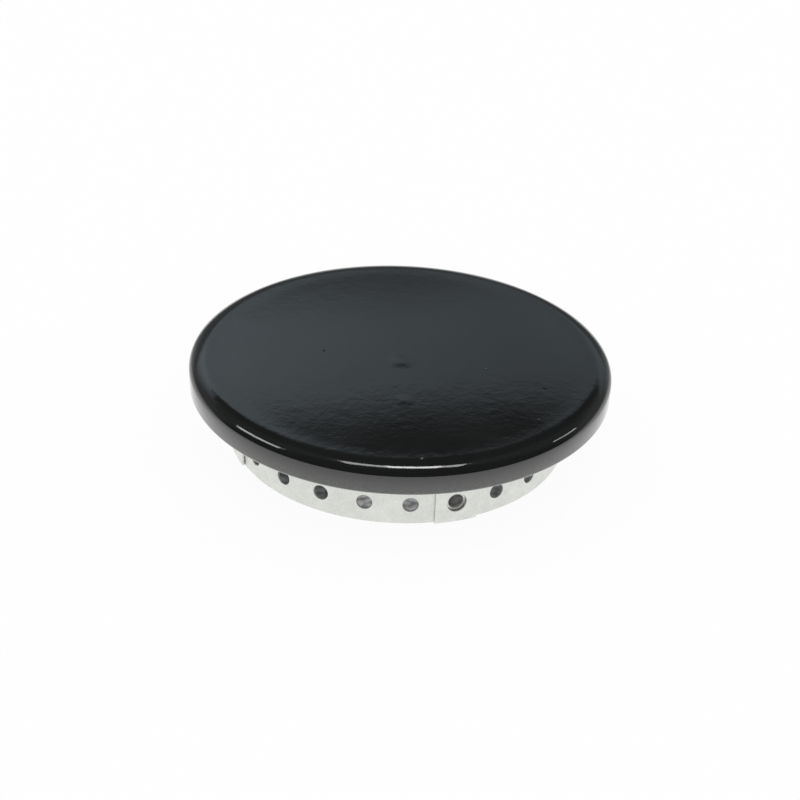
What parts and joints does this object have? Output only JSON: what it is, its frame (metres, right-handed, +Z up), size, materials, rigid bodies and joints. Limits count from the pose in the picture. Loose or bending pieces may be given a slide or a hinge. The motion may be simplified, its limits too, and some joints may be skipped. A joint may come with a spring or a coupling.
{
  "type": "gas burner cap",
  "caption": "Round black enamelled gas burner cap with a rounded rim over a bright perforated flame ring, which drops over the burner and spreads the flame.",
  "frame": {"origin": "centre of the flame ring's lower edge, the plane that the cap rests on", "axes": "+Z up along the ring's axis, -Y through the middle of one lug of the carrier plate"},
  "size_m": [0.07, 0.07, 0.0149],
  "materials": {
    "black_enamel": "glossy black vitreous enamel with a slight orange peel",
    "ring_steel": "bright satin sheet with fine mottling",
    "carrier_steel": "bright satin sheet with fine mottling",
    "rivet_steel": "dull hammered steel"
  },
  "bodies": {
    "root": {"enamelled_cap": "black_enamel", "flame_ring": "ring_steel", "carrier_plate": "carrier_steel", "centre_rivet": "rivet_steel"}
  },
  "joints": []
}
